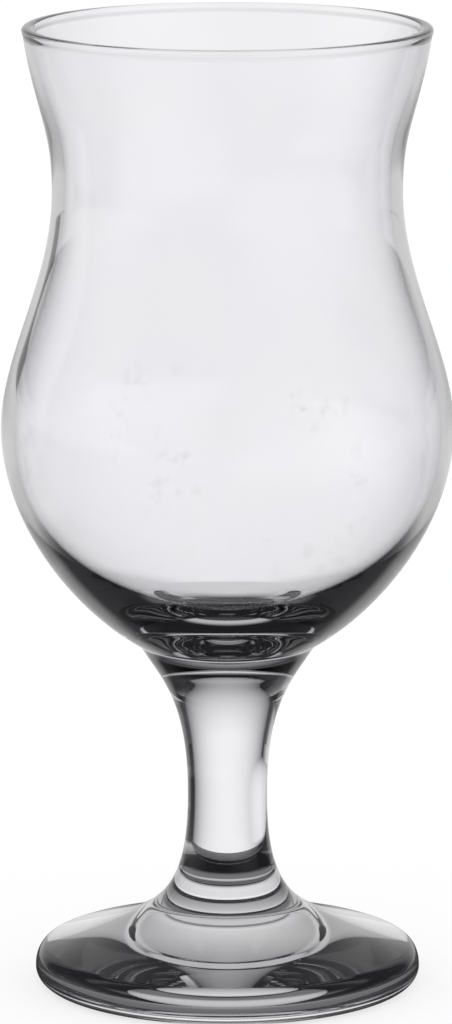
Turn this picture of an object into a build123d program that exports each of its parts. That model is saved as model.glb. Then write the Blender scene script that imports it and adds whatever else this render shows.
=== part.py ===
from build123d import *

import os
from math import cos, radians, sin

# Hurricane glass: a bowl, a stem and a foot of clear glass, fused end to end on one axis.
# The axis of the glass is Z and the table is the plane Z = 0. Every piece is a turned form, so its
# half section is drawn on the XZ plane, with X as the radius, and revolved about Z.
# Lengths are millimetres and angles are degrees. A run is the length of a curve's handle: the longer
# the run, the further the curve keeps to its tangent at that end.

# Where two curves of an outline meet, their tangents differ by this much, so each stays a face of its own
face_break = 0.1

# Heights of the three pieces, stacked up from the table
foot_height = 16.0
stem_length = 46.5
bowl_height = 117.5

# Foot: a pressed disc with a full rounded edge and a top that sweeps up to the stem
foot_radius = 36.0
foot_widest_height = 2.9
foot_underside_radius = 33.1
foot_lower_edge_flat_count = 3
foot_edge_run = 3.2
foot_shoulder_radius = 32.5
foot_shoulder_height = 7.5
foot_shoulder_run = 1.2
foot_top_slope = 16.4
foot_top_run = 9.6
foot_seam_radius = 12.65
foot_seam_slope = 45.0
foot_seam_run = 6.0

# Foot, underside: a shallow round recess inside the flat resting ring
recess_radius = 17.0
recess_wall_width = 3.5
recess_depth = 0.8

# Stem: solid, drawn in to a slender neck
neck_radius = 7.4
neck_rise = 20.0
neck_run_down = 8.3
neck_run_up = 16.9
stem_seam_run_down = 6.2
stem_seam_run_up = 5.4

# Bowl, outside: the crease above the stem, the belly, the waist and the flared lip
bowl_seam_radius = 15.15
bowl_seam_slope = 58.0
crease_run_down = 1.7
crease_run_up = 0.9
heel_radius = 17.35
heel_rise = 2.5
heel_slope = 31.0
heel_run = 12.8
belly_radius = 41.9
belly_rise = 42.9
belly_run_down = 18.0
belly_run_up = 13.7
waist_radius = 32.3
waist_rise = 87.3
waist_run_down = 17.2
waist_run_up = 11.7
lip_radius = 36.55
lip_slope = 80.5
lip_run = 14.5

# Bowl, inside: the wall at each station, the thick bottom and the fire-polished bead on the lip
lip_wall = 1.8
waist_wall = 2.4
belly_wall = 2.5
floor_thickness = 4.4
floor_run = 11.0
floor_corner_run = 26.5
bead_height = 2.1
bead_radius = 1.15
bead_undercut = 18.0
bead_flat_count = 6

# Places that follow from the sizes
bowl_seam_z = foot_height + stem_length
glass_height = bowl_seam_z + bowl_height
neck_z = foot_height + neck_rise
heel_z = bowl_seam_z + heel_rise
belly_z = bowl_seam_z + belly_rise
waist_z = bowl_seam_z + waist_rise
floor_z = bowl_seam_z + floor_thickness
bead_foot_z = glass_height - bead_height
bead_centre_z = glass_height - bead_radius
foot_lower_edge_width = foot_radius - foot_underside_radius


def along(start: tuple, angle: float, run: float) -> tuple:
    """The point that lies a run away from a start point, at an angle above the outward direction."""
    return (start[0] + run * cos(radians(angle)), start[1] + run * sin(radians(angle)))


def rounded(centre: tuple, width: float, height: float, first: float, last: float, flat_count: int) -> list:
    """The corners of a round edge drawn as short flats, from a first to a last angle about its centre."""
    angles = [radians(first + (last - first) * flat / flat_count) for flat in range(flat_count + 1)]
    return [(centre[0] + width * cos(angle), centre[1] + height * sin(angle)) for angle in angles]


# Foot
with BuildPart() as foot:
    with BuildSketch(Plane.XZ) as foot_section:
        with BuildLine() as foot_outline:
            ring_outer = (foot_underside_radius, 0)
            widest = (foot_radius, foot_widest_height)
            shoulder = (foot_shoulder_radius, foot_shoulder_height)
            seam_rim = (foot_seam_radius, foot_height)
            recess_rim = (recess_radius, 0)
            recess_corner = (recess_radius - recess_wall_width, recess_depth)
            lower_edge = rounded(
                (foot_underside_radius, foot_widest_height),
                foot_lower_edge_width,
                foot_widest_height,
                -90,
                0,
                foot_lower_edge_flat_count,
            )
            Polyline(*lower_edge)
            Bezier(
                widest,
                along(widest, 90, foot_edge_run),
                along(shoulder, -foot_top_slope, foot_shoulder_run),
                shoulder,
            )
            Bezier(
                shoulder,
                along(shoulder, 180 - foot_top_slope + face_break, foot_top_run),
                along(seam_rim, -foot_seam_slope, foot_seam_run),
                seam_rim,
            )
            Polyline(
                seam_rim,
                (0, foot_height),
                (0, recess_depth),
                recess_corner,
                recess_rim,
                ring_outer,
            )
        make_face()
    revolve(axis=Axis.Z)
foot.part.label = "foot"

# Stem
with BuildPart() as stem:
    with BuildSketch(Plane.XZ) as stem_section:
        with BuildLine() as stem_outline:
            lower_rim = (foot_seam_radius, foot_height)
            upper_rim = (bowl_seam_radius, bowl_seam_z)
            neck = (neck_radius, neck_z)
            Bezier(
                lower_rim,
                along(lower_rim, 180 - foot_seam_slope, stem_seam_run_down),
                along(neck, -90, neck_run_down),
                neck,
            )
            Bezier(
                neck,
                along(neck, 90 + face_break, neck_run_up),
                along(upper_rim, 180 + bowl_seam_slope, stem_seam_run_up),
                upper_rim,
            )
            Polyline(upper_rim, (0, bowl_seam_z), (0, foot_height), lower_rim)
        make_face()
    revolve(axis=Axis.Z)
stem.part.label = "stem"

# Bowl
with BuildPart() as bowl:
    with BuildSketch(Plane.XZ) as bowl_section:
        with BuildLine() as bowl_outline:
            bottom_rim = (bowl_seam_radius, bowl_seam_z)
            heel = (heel_radius, heel_z)
            belly = (belly_radius, belly_z)
            waist = (waist_radius, waist_z)
            lip = (lip_radius + lip_wall / 2, bead_foot_z)
            bead = rounded(
                (lip_radius, bead_centre_z),
                bead_radius,
                bead_radius,
                -bead_undercut,
                180 + bead_undercut,
                bead_flat_count,
            )
            inner_lip = (lip_radius - lip_wall / 2, bead_foot_z)
            inner_waist = (waist_radius - waist_wall, waist_z)
            inner_belly = (belly_radius - belly_wall, belly_z)
            floor_centre = (0, floor_z)
            Bezier(
                bottom_rim,
                along(bottom_rim, bowl_seam_slope, crease_run_down),
                along(heel, 180 + heel_slope, crease_run_up),
                heel,
            )
            Bezier(
                heel,
                along(heel, heel_slope + face_break, heel_run),
                along(belly, -90, belly_run_down),
                belly,
            )
            Bezier(
                belly,
                along(belly, 90 + face_break, belly_run_up),
                along(waist, -90, waist_run_down),
                waist,
            )
            Bezier(
                waist,
                along(waist, 90 + face_break, waist_run_up),
                along(lip, 180 + lip_slope, lip_run),
                lip,
            )
            Polyline(lip, *bead, inner_lip)
            Bezier(
                inner_lip,
                along(inner_lip, 180 + lip_slope, lip_run),
                along(inner_waist, 90, waist_run_up),
                inner_waist,
            )
            Bezier(
                inner_waist,
                along(inner_waist, -90 + face_break, waist_run_down),
                along(inner_belly, 90, belly_run_up),
                inner_belly,
            )
            Bezier(
                inner_belly,
                along(inner_belly, -90 + face_break, floor_corner_run),
                along(floor_centre, 0, floor_run),
                floor_centre,
            )
            Polyline(floor_centre, (0, bowl_seam_z), bottom_rim)
        make_face()
    revolve(axis=Axis.Z)
bowl.part.label = "bowl"

os.makedirs("parts", exist_ok=True)
export_step(foot.part, "parts/foot.step")
export_step(stem.part, "parts/stem.step")
export_step(bowl.part, "parts/bowl.step")
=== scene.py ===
import logging
import math
from dataclasses import dataclass, field
from enum import Enum
from functools import reduce

import bpy
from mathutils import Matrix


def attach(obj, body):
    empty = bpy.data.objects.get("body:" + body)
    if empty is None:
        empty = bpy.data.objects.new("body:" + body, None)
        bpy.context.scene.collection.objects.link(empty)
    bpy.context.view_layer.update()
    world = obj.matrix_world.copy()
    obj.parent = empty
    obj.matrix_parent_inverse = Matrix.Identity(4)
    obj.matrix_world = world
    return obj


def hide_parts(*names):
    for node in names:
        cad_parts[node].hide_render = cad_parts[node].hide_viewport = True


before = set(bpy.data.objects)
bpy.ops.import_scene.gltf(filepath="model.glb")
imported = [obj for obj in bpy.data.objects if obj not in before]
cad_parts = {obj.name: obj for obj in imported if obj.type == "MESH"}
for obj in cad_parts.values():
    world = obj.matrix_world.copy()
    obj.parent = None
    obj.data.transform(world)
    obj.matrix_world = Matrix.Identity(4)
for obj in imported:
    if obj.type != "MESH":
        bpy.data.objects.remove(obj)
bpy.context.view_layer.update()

# A clear hurricane glass: bowl, stem and foot, each turned about the Z axis and fused to the next.
# Sizes of the glass are millimetres, as in its solids; the meshes, the stage and the camera are metres.
# A run is the length of a curve's handle: the longer the run, the further the curve keeps to its tangent.

Point = tuple[float, float]
Colour = tuple[float, float, float]
MM = 0.001
# Radius and height of the two seams, and the slope of the outline there, in degrees
LOWER_SEAM: Point = (12.65, 16.0)
LOWER_SLOPE = 45.0
UPPER_SEAM: Point = (15.15, 62.5)
UPPER_SLOPE = 58.0
# Half width of a sector that goes all the way round, in degrees, with room for its soft sides
WHOLE = 190.0
log = logging.getLogger("hurricane_glass")


def along(start: Point, angle: float, run: float) -> Point:
    """The point a run away from a start point.

    Args:
        start: radius and height of the start point.
        angle: direction of the run, in degrees above the outward direction.
        run: length of the run.

    Returns:
        Radius and height of the far point.
    """
    turn = math.radians(angle)
    return (start[0] + run * math.cos(turn), start[1] + run * math.sin(turn))


class Spacing(Enum):
    """Where the rows of a curve stand close together."""

    BOTH_ENDS = "both"
    START = "start"


@dataclass(frozen=True)
class Curve:
    """One smooth stretch of a half section, with a handle at each end."""

    start: Point
    start_angle: float
    start_run: float
    end: Point
    end_angle: float
    end_run: float
    rows: int
    spacing: Spacing = Spacing.BOTH_ENDS

    def share(self, row: int) -> float:
        """How far along the stretch a row stands.

        Args:
            row: number of the row.

        Returns:
            The share of the stretch, from 0 to 1.
        """
        part = row / self.rows
        if self.spacing is Spacing.START:
            return 1 - math.cos(part * math.pi / 2)
        return (1 - math.cos(part * math.pi)) / 2

    def points(self) -> list[Point]:
        """The points of the stretch after its start.

        Returns:
            Radius and height of each row, in order.
        """
        first = along(self.start, self.start_angle, self.start_run)
        second = along(self.end, self.end_angle, self.end_run)
        corners = (self.start, first, second, self.end)
        found = []
        for row in range(1, self.rows + 1):
            t = self.share(row)
            weights = ((1 - t) ** 3, 3 * (1 - t) ** 2 * t, 3 * (1 - t) * t * t, t**3)
            found.append(tuple(sum(w * c[axis] for w, c in zip(weights, corners)) for axis in (0, 1)))
        return found


@dataclass(frozen=True)
class Lathe:
    """Turns a half section into a closed piece about the Z axis.

    Points nearer than the merge distance, in millimetres, become one. Edges under the smooth angle, in
    degrees, are shaded smooth.
    """

    segments: int = 240
    smooth_angle: float = 30.0
    merge_distance: float = 0.002

    def turn(self, name: str, section: list[Point]) -> bpy.types.Object:
        """Draws a half section as a chain of edges and spins it.

        Args:
            name: name of the piece.
            section: radius and height of each point, from axis to axis.

        Returns:
            The finished piece, at the origin.
        """
        bpy.ops.object.select_all(action="DESELECT")
        bpy.ops.mesh.primitive_plane_add(size=MM)
        piece = bpy.context.object
        piece.name = name
        piece.data.name = name
        bpy.ops.object.mode_set(mode="EDIT")
        bpy.ops.mesh.select_all(action="SELECT")
        bpy.ops.mesh.merge(type="CENTER")
        bpy.ops.transform.translate(value=(section[0][0] * MM, 0, section[0][1] * MM))
        for here, there in zip(section, section[1:]):
            step = ((there[0] - here[0]) * MM, 0, (there[1] - here[1]) * MM)
            bpy.ops.mesh.extrude_vertices_move(TRANSFORM_OT_translate={"value": step})
        bpy.ops.mesh.select_all(action="SELECT")
        bpy.ops.mesh.spin(steps=self.segments, angle=math.tau, center=(0, 0, 0), axis=(0, 0, 1))
        bpy.ops.mesh.select_all(action="SELECT")
        bpy.ops.mesh.remove_doubles(threshold=self.merge_distance * MM)
        bpy.ops.mesh.normals_make_consistent(inside=False)
        bpy.ops.object.mode_set(mode="OBJECT")
        bpy.ops.object.shade_smooth_by_angle(angle=math.radians(self.smooth_angle))
        return piece


class Value:
    """A number in a shader, on which maths is written as on any number."""

    def __init__(self, book: "NodeBook", socket: bpy.types.NodeSocket) -> None:
        """Keeps the socket and the book that its tree belongs to."""
        self.book = book
        self.socket = socket

    def maths(self, operation: str, *terms: "Value | float") -> "Value":
        """Adds a Math node.

        Args:
            operation: name of the operation.
            terms: its terms, in order.

        Returns:
            The result.
        """
        made = self.book.node("ShaderNodeMath", {"operation": operation}, dict(enumerate(terms)))
        return Value(self.book, made.outputs[0])

    def __add__(self, other: "Value | float") -> "Value":
        """Sum."""
        return self.maths("ADD", self, other)

    def __radd__(self, other: float) -> "Value":
        """Sum with a plain number first."""
        return self.maths("ADD", other, self)

    def __sub__(self, other: "Value | float") -> "Value":
        """Difference."""
        return self.maths("SUBTRACT", self, other)

    def __rsub__(self, other: float) -> "Value":
        """Difference with a plain number first."""
        return self.maths("SUBTRACT", other, self)

    def __mul__(self, other: "Value | float") -> "Value":
        """Product."""
        return self.maths("MULTIPLY", self, other)

    def __rmul__(self, other: float) -> "Value":
        """Product with a plain number first."""
        return self.maths("MULTIPLY", other, self)

    def __truediv__(self, other: "Value | float") -> "Value":
        """Quotient."""
        return self.maths("DIVIDE", self, other)

    def __rtruediv__(self, other: float) -> "Value":
        """Quotient with a plain number first."""
        return self.maths("DIVIDE", other, self)

    def __gt__(self, other: "Value | float") -> "Value":
        """1 where this is more than the other, and 0 elsewhere."""
        return self.maths("GREATER_THAN", self, other)

    def __lt__(self, other: "Value | float") -> "Value":
        """1 where this is less than the other, and 0 elsewhere."""
        return self.maths("LESS_THAN", self, other)

    def __abs__(self) -> "Value":
        """Size without its sign."""
        return self.maths("ABSOLUTE", self)

    def most(self, other: "Value | float") -> "Value":
        """The larger of two."""
        return self.maths("MAXIMUM", self, other)

    def root(self) -> "Value":
        """Square root."""
        return self.maths("SQRT", self)

    def fade(self, low: float, high: float) -> "Value":
        """A soft step.

        Args:
            low: where it is 0.
            high: where it is 1; less than low for a step down.

        Returns:
            The step, from 0 to 1.
        """
        ends = (low, high, 0.0, 1.0) if low < high else (high, low, 1.0, 0.0)
        sockets = dict(zip(("From Min", "From Max", "To Min", "To Max"), ends))
        sockets["Value"] = self
        made = self.book.node("ShaderNodeMapRange", {"interpolation_type": "SMOOTHSTEP"}, sockets)
        return Value(self.book, made.outputs[0])


class NodeBook:
    """The nodes of one material or of the world."""

    def __init__(self, owner: bpy.types.Material | bpy.types.World) -> None:
        """Empties the owner's node tree.

        Args:
            owner: the material or world to write.
        """
        owner.use_nodes = True
        self.tree = owner.node_tree
        self.tree.nodes.clear()

    def node(self, kind: str, settings: dict | None = None, sockets: dict | None = None) -> bpy.types.Node:
        """Adds a node.

        Args:
            kind: type of the node.
            settings: its own properties, set first.
            sockets: a value, a Value or a socket to link, by the name or number of each input.

        Returns:
            The new node.
        """
        made = self.tree.nodes.new(kind)
        for name, setting in (settings or {}).items():
            setattr(made, name, setting)
        for name, given in (sockets or {}).items():
            given = given.socket if isinstance(given, Value) else given
            if isinstance(given, bpy.types.NodeSocket):
                self.tree.links.new(given, made.inputs[name])
            else:
                made.inputs[name].default_value = given
        return made

    def value(self, made: bpy.types.Node, output: str | int = 0) -> Value:
        """One output of a node, as a number."""
        return Value(self, made.outputs[output])

    def parts(self, vector: bpy.types.NodeSocket) -> tuple[Value, ...]:
        """The three parts of a vector, as numbers.

        Args:
            vector: the socket of the vector.

        Returns:
            Its X, Y and Z.
        """
        made = self.node("ShaderNodeSeparateXYZ", sockets={0: vector})
        return tuple(self.value(made, axis) for axis in "XYZ")

    def noise(self, place: bpy.types.NodeSocket, scale: float, detail: float) -> Value:
        """Soft noise.

        Args:
            place: the socket of the coordinates.
            scale: how many waves go to a metre, roughly.
            detail: how many finer layers lie on top.

        Returns:
            The noise, about 0.5.
        """
        sockets = {"Vector": place, "Scale": scale, "Detail": detail}
        return self.value(self.node("ShaderNodeTexNoise", sockets=sockets))

    def mix(
        self, amount: Value, first: Colour | bpy.types.NodeSocket, second: Colour | bpy.types.NodeSocket
    ) -> bpy.types.NodeSocket:
        """Mixes two colours.

        Args:
            amount: 0 for the first colour and 1 for the second.
            first: a colour or the socket of one.
            second: a colour or the socket of one.

        Returns:
            The socket of the mixed colour.
        """
        first, second = ((*c, 1.0) if isinstance(c, tuple) else c for c in (first, second))
        sockets = {0: amount, 6: first, 7: second}
        return self.node("ShaderNodeMix", {"data_type": "RGBA"}, sockets).outputs[2]


@dataclass(frozen=True)
class ClearGlass:
    """Clear pressed glass: a faint cool tint, gentle mould waves and dried water marks low in the bowl.

    Waves and marks are noise, and a pair of limits says between which of its levels they set in. The marks
    fade in over the heights of one pair, in metres, and out over those of another.
    """

    name: str = "clear_glass"
    tint: Colour = (0.981, 0.976, 1.0)
    tint_between: Colour = (0.989, 0.985, 1.0)
    ior: float = 1.5
    wave_scale: float = 42.0
    wave_detail: float = 1.0
    wave_limits: tuple[float, float] = (0.35, 0.65)
    wave_depth: float = 0.00002
    mark: Colour = (0.90, 0.895, 0.91)
    mark_bottom: tuple[float, float] = (0.080, 0.088)
    mark_top: tuple[float, float] = (0.116, 0.104)
    patch_scale: float = 38.0
    patch_detail: float = 2.0
    patch_limits: tuple[float, float] = (0.55, 0.66)
    fleck_scale: float = 330.0
    fleck_detail: float = 4.0
    fleck_limits: tuple[float, float] = (0.56, 0.68)
    mark_relief: float = 0.06
    mark_roughness: float = 0.10

    def material(self) -> bpy.types.Material:
        """Writes the finish.

        Returns:
            The material.
        """
        made = bpy.data.materials.new(self.name)
        book = NodeBook(made)
        place = book.node("ShaderNodeTexCoord").outputs["Object"]
        height = book.parts(place)[2]
        wave = book.noise(place, self.wave_scale, self.wave_detail)
        patch = book.noise(place, self.patch_scale, self.patch_detail).fade(*self.patch_limits)
        fleck = book.noise(place, self.fleck_scale, self.fleck_detail).fade(*self.fleck_limits)
        marks = fleck * patch * (height.fade(*self.mark_top) * height.fade(*self.mark_bottom))
        relief = {"Strength": 1.0, "Distance": self.wave_depth, "Height": wave + marks * self.mark_relief}
        tinted = book.mix(wave.fade(*self.wave_limits), self.tint, self.tint_between)
        shader = book.node(
            "ShaderNodeBsdfPrincipled",
            sockets={
                "Base Color": book.mix(marks, tinted, self.mark),
                "Roughness": marks * self.mark_roughness,
                "Normal": book.node("ShaderNodeBump", sockets=relief).outputs[0],
                "IOR": self.ior,
                "Transmission Weight": 1.0,
            },
        )
        book.node("ShaderNodeOutputMaterial", sockets={"Surface": shader.outputs[0]})
        return made


@dataclass(frozen=True)
class FusedSeam:
    """The inside of a fused joint, where glass meets glass and nothing is seen."""

    name: str = "fused_seam"

    def material(self) -> bpy.types.Material:
        """Writes the finish.

        Returns:
            The material.
        """
        made = bpy.data.materials.new(self.name)
        book = NodeBook(made)
        shader = book.node("ShaderNodeBsdfPrincipled", sockets={"Alpha": 0.0, "Roughness": 0.0})
        book.node("ShaderNodeOutputMaterial", sockets={"Surface": shader.outputs[0]})
        return made


@dataclass
class TurnedPiece:
    """A piece of the glass that is turned about the axis.

    A face lies in a seam if it is within the seam reach of its height, in millimetres, and level: the
    upright part of its normal is over the seam level.
    """

    node: str
    lathe: Lathe = field(default_factory=Lathe)
    seam_reach: float = 0.01
    seam_level: float = 0.999

    def section(self) -> list[Point]:
        """The half section of the piece, from axis to axis."""
        raise NotImplementedError

    def seam_heights(self) -> tuple[float, ...]:
        """The heights of the flat faces where the next piece is fused on."""
        raise NotImplementedError

    def build(self) -> bpy.types.Object:
        """Turns the piece, which isn't dressed yet."""
        return self.lathe.turn(f"glass_{self.node}", self.section())

    def dress(self, piece: bpy.types.Object, glass: bpy.types.Material, seam: bpy.types.Material) -> None:
        """Gives the piece its finish and its place in the frame.

        Args:
            piece: the turned piece.
            glass: finish of all that is seen.
            seam: finish of the flat faces where the next piece is fused on.
        """
        piece.data.materials.append(glass)
        piece.data.materials.append(seam)
        for face in piece.data.polygons:
            gaps = (abs(face.center.z - height * MM) for height in self.seam_heights())
            if min(gaps) < self.seam_reach * MM and abs(face.normal.z) > self.seam_level:
                face.material_index = 1
        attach(piece, "root")
        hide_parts(self.node)
        log.info("%s: %d faces", piece.name, len(piece.data.polygons))


@dataclass
class Foot(TurnedPiece):
    """The pressed disc that the glass stands on, with a shallow recess in its underside."""

    node: str = "foot"
    radius: float = 36.0
    widest_height: float = 2.9
    underside_radius: float = 33.1
    lower_edge_run: float = 1.6
    upper_edge_run: float = 2.75
    shoulder: Point = (33.8, 7.05)
    shoulder_run: float = 0.9
    top_slope: float = 16.4
    top_run: float = 9.6
    seam: Point = LOWER_SEAM
    seam_slope: float = LOWER_SLOPE
    seam_run: float = 6.0
    recess_radius: float = 17.0
    recess_wall: float = 3.5
    recess_wall_run: float = 1.9
    recess_depth: float = 0.8

    def seam_heights(self) -> tuple[float, ...]:
        """The top, which the stem stands on."""
        return (self.seam[1],)

    def underside(self) -> list[Point]:
        """The recess and the resting ring.

        Returns:
            Its points, from the axis out.
        """
        run = self.recess_wall_run
        corner = (self.recess_radius - self.recess_wall, self.recess_depth)
        rim = (self.recess_radius, 0.0)
        ring = (self.underside_radius, 0.0)
        points = [(0.0, self.recess_depth), (corner[0] / 2, self.recess_depth), corner]
        points += Curve(corner, 0, run, rim, 180, run, rows=24).points()
        return points + [((rim[0] + ring[0]) / 2, 0.0), ring]

    def section(self) -> list[Point]:
        """The underside, then the rounded edge and the top back to the seam.

        Returns:
            The half section.
        """
        points = self.underside()
        widest = (self.radius, self.widest_height)
        shoulder, seam = self.shoulder, self.seam
        slope, run = self.top_slope, self.lower_edge_run
        points += Curve(points[-1], 0, run, widest, -90, run, rows=20).points()
        edge = Curve(widest, 90, self.upper_edge_run, shoulder, -slope, self.shoulder_run, rows=28)
        top = Curve(shoulder, 180 - slope, self.top_run, seam, -self.seam_slope, self.seam_run, rows=64)
        return points + edge.points() + top.points() + [(0.0, seam[1])]


@dataclass
class Stem(TurnedPiece):
    """The solid stem, drawn in to a slender neck."""

    node: str = "stem"
    lower_rim: Point = LOWER_SEAM
    lower_slope: float = LOWER_SLOPE
    lower_run: float = 6.2
    neck: Point = (7.4, 36.0)
    neck_run_down: float = 8.3
    neck_run_up: float = 16.9
    upper_rim: Point = UPPER_SEAM
    upper_slope: float = UPPER_SLOPE
    upper_run: float = 5.4

    def seam_heights(self) -> tuple[float, ...]:
        """Both ends, fused to the foot and to the bowl."""
        return (self.lower_rim[1], self.upper_rim[1])

    def section(self) -> list[Point]:
        """The lower seam from the axis out, the flank up through the neck, and the upper seam back in.

        Returns:
            The half section.
        """
        low, neck, high = self.lower_rim, self.neck, self.upper_rim
        lower = Curve(low, 180 - self.lower_slope, self.lower_run, neck, -90, self.neck_run_down, rows=56)
        upper = Curve(neck, 90, self.neck_run_up, high, 180 + self.upper_slope, self.upper_run, rows=64)
        return [(0.0, low[1]), low] + lower.points() + upper.points() + [(0.0, high[1])]


@dataclass
class Bowl(TurnedPiece):
    """The bowl: a round belly, a narrow waist, a flared lip with a polished bead and a thick bottom."""

    node: str = "bowl"
    seam: Point = UPPER_SEAM
    seam_slope: float = UPPER_SLOPE
    crease_run_down: float = 1.7
    crease_run_up: float = 0.9
    heel: Point = (17.35, 65.0)
    heel_slope: float = 31.0
    heel_run: float = 12.8
    belly: Point = (41.9, 105.4)
    belly_run_down: float = 18.0
    belly_run_up: float = 13.7
    waist: Point = (32.3, 149.8)
    waist_run_down: float = 17.2
    waist_run_up: float = 11.7
    crest: Point = (36.55, 180.0)
    lip_slope: float = 80.5
    lip_run: float = 14.5
    lip_wall: float = 1.8
    waist_wall: float = 2.4
    belly_wall: float = 2.5
    bead_height: float = 2.1
    bead_run_low: float = 1.0
    bead_run_high: float = 1.85
    floor_height: float = 66.9
    floor_run: float = 11.8
    floor_corner_run: float = 27.4

    def seam_heights(self) -> tuple[float, ...]:
        """The bottom, which stands on the stem."""
        return (self.seam[1],)

    def lip(self, side: float) -> Point:
        """The foot of the bead, 1 for its outer side and -1 for its inner side."""
        return (self.crest[0] + side * self.lip_wall / 2, self.crest[1] - self.bead_height)

    def outside(self) -> list[Point]:
        """The outer wall, from the seam up to the crest of the bead.

        Returns:
            Its points after the seam.
        """
        seam, heel, belly, waist, lip = self.seam, self.heel, self.belly, self.waist, self.lip(1)
        slope, tilt = self.heel_slope, self.lip_slope
        down, up = self.crease_run_down, self.crease_run_up
        stretches = (
            Curve(seam, self.seam_slope, down, heel, 180 + slope, up, rows=12),
            Curve(heel, slope, self.heel_run, belly, -90, self.belly_run_down, rows=46),
            Curve(belly, 90, self.belly_run_up, waist, -90, self.waist_run_down, rows=44),
            Curve(waist, 90, self.waist_run_up, lip, 180 + tilt, self.lip_run, rows=36),
            Curve(lip, tilt, self.bead_run_low, self.crest, 0, self.bead_run_high, rows=18),
        )
        return [point for stretch in stretches for point in stretch.points()]

    def inside(self) -> list[Point]:
        """The inner wall, from the crest of the bead down to the middle of the floor.

        Returns:
            Its points after the crest.
        """
        lip, tilt = self.lip(-1), self.lip_slope
        waist = (self.waist[0] - self.waist_wall, self.waist[1])
        belly = (self.belly[0] - self.belly_wall, self.belly[1])
        floor = (0.0, self.floor_height)
        run = self.floor_corner_run
        stretches = (
            Curve(self.crest, 180, self.bead_run_high, lip, tilt, self.bead_run_low, rows=18),
            Curve(lip, 180 + tilt, self.lip_run, waist, 90, self.waist_run_up, rows=36),
            Curve(waist, -90, self.waist_run_down, belly, 90, self.belly_run_up, rows=44),
            Curve(belly, -90, run, floor, 0, self.floor_run, rows=70, spacing=Spacing.START),
        )
        return [point for stretch in stretches for point in stretch.points()]

    def section(self) -> list[Point]:
        """The seam from the axis out, up the outer wall, over the bead and down the inner wall."""
        return [(0.0, self.seam[1]), self.seam] + self.outside() + self.inside()


class Seen(Enum):
    """What a ray has passed when it reaches the stage."""

    SOLID = "stem or foot"
    HOLLOW = "both walls of the bowl"
    FACE = "a reflection off the outer face"
    EDGE = "one or two reflections inside the glass"
    OFTEN = "many reflections inside the glass"


@dataclass(frozen=True)
class PaintedFloorPool:
    """A painted pool of light on the floor, glow that only rays through or off the glass see, which backs
    the glass for one side of the room. Short of its near distance the floor is dark to them, painted shade.

    It brightens from a near to a full distance from the axis, stays bright as far as its far distance and
    is gone at the next. It drops by a share towards its sides, which are soft. The azimuth is measured from
    +Y towards +X. Distances are metres and angles are degrees.
    """

    seen: Seen
    near: float
    full: float
    azimuth: float
    half_width: float
    strength: float = 1.0
    drop: float = 0.0
    soft: float = 3.0
    far: float = 8.0
    gone: float = 9.0


@dataclass(frozen=True)
class SkyPanel:
    """A bright panel that stands on the horizon and dims upwards and towards its sides.

    A panel for solid glass is shown through the hollow bowl too. Its height and its angles are degrees.
    """

    seen: Seen
    azimuth: float
    half_width: float
    height: float
    strength: float
    drop: float = 0.80
    soft: float = 4.0


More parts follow.
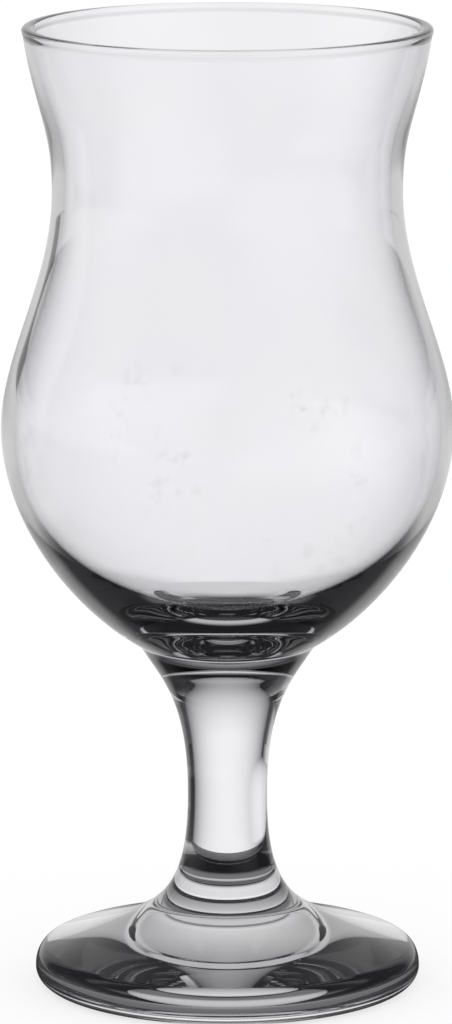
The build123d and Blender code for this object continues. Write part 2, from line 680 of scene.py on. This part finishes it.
@dataclass
class Studio:
    """A plain white floor under soft white light. To rays through or off the glass it shows painted light
    and shade instead: glowing bright pools, dark gaps and a painted shadow round the foot.
    """

    # To the glass, the floor's gaps take this dark colour as painted shade; in the world it is the dim
    # light between the panels.
    dark: Colour = (0.0125, 0.012, 0.0142)
    bright: Colour = (1.0, 1.0, 1.0)
    floor_radius: float = 7.0
    floor_sides: int = 96
    floor_drop: float = 0.0002
    floor_level: float = 1.02
    shade_share: float = 0.30
    # Crossings or reflections of a ray: some above the first count, many above the second
    some: float = 0.5
    many: float = 2.5
    # Painted pools of light on the floor. The dim floor close round the axis is a painted shadow of the
    # glass, and the gaps between pools are painted shade.
    pools: tuple[PaintedFloorPool, ...] = (
        PaintedFloorPool(Seen.SOLID, 0.008, 0.030, 0.0, WHOLE, 0.72, far=0.038, gone=0.042),
        PaintedFloorPool(Seen.SOLID, 0.000, 0.008, 180.0, 75.0, 0.50, soft=15.0, far=0.019, gone=0.021),
        PaintedFloorPool(Seen.SOLID, 0.030, 0.046, 0.0, 43.0, 0.96, 0.80),
        PaintedFloorPool(Seen.SOLID, 0.360, 0.400, -90.0, 43.0, 0.96, 0.80),
        PaintedFloorPool(Seen.SOLID, 0.046, 0.060, 135.0, 43.0, 0.96, 0.80),
        PaintedFloorPool(Seen.SOLID, 0.040, 0.055, -45.0, 43.0, 0.96, 0.80, far=0.12, gone=0.60),
        PaintedFloorPool(Seen.HOLLOW, 0.030, 0.065, 0.0, WHOLE, 0.76),
        PaintedFloorPool(Seen.HOLLOW, 0.060, 0.150, 0.0, WHOLE),
        PaintedFloorPool(Seen.FACE, 0.030, 0.070, 0.0, WHOLE, 0.14, far=0.6, gone=2.5),
        PaintedFloorPool(Seen.FACE, 0.05, 0.11, 0.0, 50.0, 0.75, soft=10.0),
        PaintedFloorPool(Seen.FACE, 0.30, 0.60, 135.0, 40.0, 0.45, soft=20.0),
        PaintedFloorPool(Seen.FACE, 0.60, 1.20, -90.0, 40.0, 0.45, soft=20.0),
        PaintedFloorPool(Seen.FACE, 0.10, 0.20, -45.0, 40.0, 0.45, soft=20.0),
        PaintedFloorPool(Seen.EDGE, 0.012, 0.018, 0.0, 30.0, 0.17, far=0.034, gone=0.045),
        PaintedFloorPool(Seen.EDGE, 0.021, 0.027, 0.0, 30.0, 0.60, far=0.031, gone=0.037),
        PaintedFloorPool(Seen.EDGE, 0.10, 0.25, 0.0, 55.0, 0.56, far=1.30, gone=1.42),
        PaintedFloorPool(Seen.EDGE, 1.30, 1.40, 14.0, 38.5, 0.56, soft=2.0),
        PaintedFloorPool(Seen.EDGE, 1.30, 1.40, -51.0, 17.0, 0.50, soft=2.0),
        PaintedFloorPool(Seen.EDGE, 0.90, 1.60, -90.0, 43.0, 0.50, soft=10.0),
        PaintedFloorPool(Seen.EDGE, 0.22, 0.40, 135.0, 43.0, 0.50, soft=10.0),
        PaintedFloorPool(Seen.EDGE, 0.13, 0.22, -45.0, 43.0, 0.40, soft=10.0, far=0.5, gone=0.9),
        PaintedFloorPool(Seen.OFTEN, 0.018, 0.024, 0.0, 60.0, 0.045, far=0.034, gone=0.040),
        PaintedFloorPool(Seen.OFTEN, 0.036, 0.044, 0.0, 60.0, 0.50, soft=10.0, far=0.050, gone=0.075),
        PaintedFloorPool(Seen.OFTEN, 0.45, 0.65, 0.0, 50.0, 0.50),
    )
    panels: tuple[SkyPanel, ...] = (
        SkyPanel(Seen.SOLID, 0.0, 43.0, 64.0, 0.95),
        SkyPanel(Seen.SOLID, 0.0, 68.0, 64.0, 0.11),
        SkyPanel(Seen.SOLID, -90.0, 40.0, 50.0, 0.95, soft=10.0),
        SkyPanel(Seen.SOLID, 135.0, 40.0, 50.0, 0.95, soft=10.0),
        SkyPanel(Seen.FACE, 0.0, 43.0, 52.0, 1.00),
        SkyPanel(Seen.FACE, 0.0, 68.0, 52.0, 0.11),
        SkyPanel(Seen.FACE, -90.0, 40.0, 25.0, 0.50, soft=20.0),
        SkyPanel(Seen.FACE, 135.0, 40.0, 25.0, 0.50, soft=20.0),
        SkyPanel(Seen.EDGE, 0.0, 43.0, 84.0, 0.74),
        SkyPanel(Seen.EDGE, 0.0, 68.0, 64.0, 0.08),
        SkyPanel(Seen.EDGE, -90.0, 40.0, 50.0, 0.60, soft=14.0),
        SkyPanel(Seen.EDGE, 135.0, 40.0, 50.0, 0.60, soft=14.0),
        SkyPanel(Seen.OFTEN, 0.0, 43.0, 50.0, 0.50),
        SkyPanel(Seen.OFTEN, 0.0, WHOLE, 26.0, 0.004, drop=0.0),
        SkyPanel(Seen.OFTEN, 180.0, 75.0, 25.0, 0.16, soft=20.0),
    )

    def sector(self, x: Value, y: Value, patch: PaintedFloorPool | SkyPanel) -> Value:
        """How bright a pool or a panel is across its width.

        Args:
            x: first coordinate of a place or a direction.
            y: second coordinate.
            patch: the pool or the panel.

        Returns:
            The share of its brightness, 0 outside it.
        """
        turn = math.radians(patch.azimuth)
        across = x * math.cos(turn) - y * math.sin(turn)
        ahead = x * math.sin(turn) + y * math.cos(turn)
        angle = abs(across.maths("ARCTAN2", across, ahead) * math.degrees(1.0))
        reached = angle / patch.half_width
        width = angle.fade(patch.half_width + patch.soft, patch.half_width - patch.soft)
        return width * (1 - patch.drop * (reached * reached))

    def pool_light(self, book: NodeBook, seen: Seen) -> Value:
        """How bright the painted light on the floor is to one kind of ray.

        Args:
            book: nodes of the floor.
            seen: the kind of ray.

        Returns:
            The share of full brightness.
        """
        x, y, _ = book.parts(book.node("ShaderNodeTexCoord").outputs["Object"])
        reach = (x * x + y * y).root()
        shares = []
        for pool in (p for p in self.pools if p.seen is seen):
            band = reach.fade(pool.near, pool.full) * reach.fade(pool.gone, pool.far)
            shares.append(self.sector(x, y, pool) * band * pool.strength)
        return reduce(Value.most, shares)

    def panel_light(self, book: NodeBook, seen: Seen) -> Value:
        """How bright the sky is to one kind of ray.

        Args:
            book: nodes of the world.
            seen: the kind of ray.

        Returns:
            The share of full brightness.
        """
        x, y, z = book.parts(book.node("ShaderNodeTexCoord").outputs["Generated"])
        rise = (z.maths("ARCSINE", z) * math.degrees(1.0)).most(0.0)
        shares = []
        for panel in (p for p in self.panels if p.seen is seen):
            upwards = (1 - rise / panel.height).most(0.0)
            shares.append(self.sector(x, y, panel) * upwards * panel.strength)
        return reduce(Value.most, shares)

    def by_rays(self, book: NodeBook, lights: dict[Seen, Value]) -> bpy.types.NodeSocket:
        """Chooses the light that suits what a ray has passed.

        Args:
            book: nodes of the floor or of the world.
            lights: the light for each kind of ray.

        Returns:
            The socket of the colour that the ray at hand sees.
        """
        rays = book.node("ShaderNodeLightPath")
        crossed, bounces = book.value(rays, "Transmission Depth"), book.value(rays, "Glossy Depth")
        solid, hollow, face, edge, often = (lights[seen] for seen in Seen)
        straight = solid + (hollow - solid) * (crossed > self.many)
        turned = face + (edge - face) * (crossed > self.some)
        turned = turned + (often - turned) * (bounces > self.many)
        light = straight + (turned - straight) * (bounces > self.some)
        return book.mix(light, self.dark, self.bright)

    def met_glass(self, book: NodeBook) -> Value:
        """1 for a ray that comes through or off the glass, and 0 for any other."""
        rays = book.node("ShaderNodeLightPath")
        return book.value(rays, "Is Transmission Ray").most(book.value(rays, "Is Glossy Ray"))

    def floor(self) -> bpy.types.Object:
        """Lays the floor.

        Returns:
            The floor, which is part of the stage.
        """
        bpy.ops.object.select_all(action="DESELECT")
        place = (0, 0, -self.floor_drop)
        bpy.ops.mesh.primitive_circle_add(
            vertices=self.floor_sides, radius=self.floor_radius, fill_type="NGON", location=place
        )
        floor = bpy.context.object
        floor.name = "studio_floor"
        made = bpy.data.materials.new("studio_floor")
        book = NodeBook(made)
        # To rays through or off the glass the floor glows with painted light and shade: bright pools, dark
        # gaps and a painted shadow round the foot.
        colour = self.by_rays(book, {seen: self.pool_light(book, seen) for seen in Seen})
        painted_light_and_shade = book.node("ShaderNodeEmission", sockets={"Color": colour, "Strength": 1.0})
        own_light = {"Color": (*self.bright, 1.0), "Strength": self.floor_level - self.shade_share}
        glow = book.node("ShaderNodeEmission", sockets=own_light)
        matt = book.node("ShaderNodeBsdfDiffuse", sockets={"Color": (*3 * (self.shade_share,), 1.0)})
        plain = book.node("ShaderNodeAddShader", sockets={0: glow.outputs[0], 1: matt.outputs[0]})
        choice = {0: self.met_glass(book), 1: plain.outputs[0], 2: painted_light_and_shade.outputs[0]}
        surface = book.node("ShaderNodeMixShader", sockets=choice)
        book.node("ShaderNodeOutputMaterial", sockets={"Surface": surface.outputs[0]})
        floor.data.materials.append(made)
        log.info("%s laid", floor.name)
        return floor

    def sky(self) -> bpy.types.World:
        """Writes the world: white to the camera and to the floor, panels and gaps to the glass.

        Returns:
            The world.
        """
        world = bpy.data.worlds.new("studio_light")
        book = NodeBook(world)
        lights = {seen: self.panel_light(book, seen) for seen in Seen if seen is not Seen.HOLLOW}
        lights[Seen.HOLLOW] = lights[Seen.SOLID]
        colour = book.mix(self.met_glass(book), self.bright, self.by_rays(book, lights))
        background = book.node("ShaderNodeBackground", sockets={"Color": colour, "Strength": 1.0})
        book.node("ShaderNodeOutputWorld", sockets={"Surface": background.outputs[0]})
        bpy.context.scene.world = world
        log.info("%s written", world.name)
        return world


@dataclass(frozen=True)
class PhotoCamera:
    """The camera, a little above the rim and far off.

    Its distance and height are metres, its dip is degrees and its lens and sensor are millimetres.
    """

    distance: float = 1.2413
    height: float = 0.3319
    dip: float = 11.07
    lens: float = 239.55
    sensor: float = 36.0
    shift: tuple[float, float] = (-0.0014, 0.0012)
    sight: float = 50.0

    def place(self) -> bpy.types.Object:
        """Sets the camera up.

        Returns:
            The camera, which is now the scene's own.
        """
        data = bpy.data.cameras.new("photo_camera")
        data.lens = self.lens
        data.sensor_width = self.sensor
        data.shift_x, data.shift_y = self.shift
        data.clip_end = self.sight
        camera = bpy.data.objects.new("photo_camera", data)
        camera.location = (0.0, -self.distance, self.height)
        camera.rotation_euler = (math.radians(90 - self.dip), 0.0, 0.0)
        bpy.context.collection.objects.link(camera)
        bpy.context.scene.camera = camera
        log.info("%s placed", camera.name)
        return camera


@dataclass(frozen=True)
class LightDepth:
    """How many faces of the glass light may pass and how many reflections it may make."""

    faces: int = 32
    reflections: int = 16

    def apply(self, scene: bpy.types.Scene) -> None:
        """Sets the depth and the plain view of colours.

        Args:
            scene: the scene that is rendered.
        """
        scene.view_settings.view_transform = "Standard"
        scene.cycles.max_bounces = self.faces
        scene.cycles.transmission_bounces = self.faces
        scene.cycles.glossy_bounces = self.reflections
        scene.cycles.transparent_max_bounces = self.faces


def main() -> None:
    """Builds the glass, dresses it and sets the stage."""
    logging.basicConfig(level=logging.INFO, format="%(name)s: %(message)s")
    glass, seam = ClearGlass().material(), FusedSeam().material()
    for part in (Foot(), Stem(), Bowl()):
        part.dress(part.build(), glass, seam)
    studio = Studio()
    studio.floor()
    studio.sky()
    PhotoCamera().place()
    LightDepth().apply(bpy.context.scene)


if __name__ == "__main__":
    main()
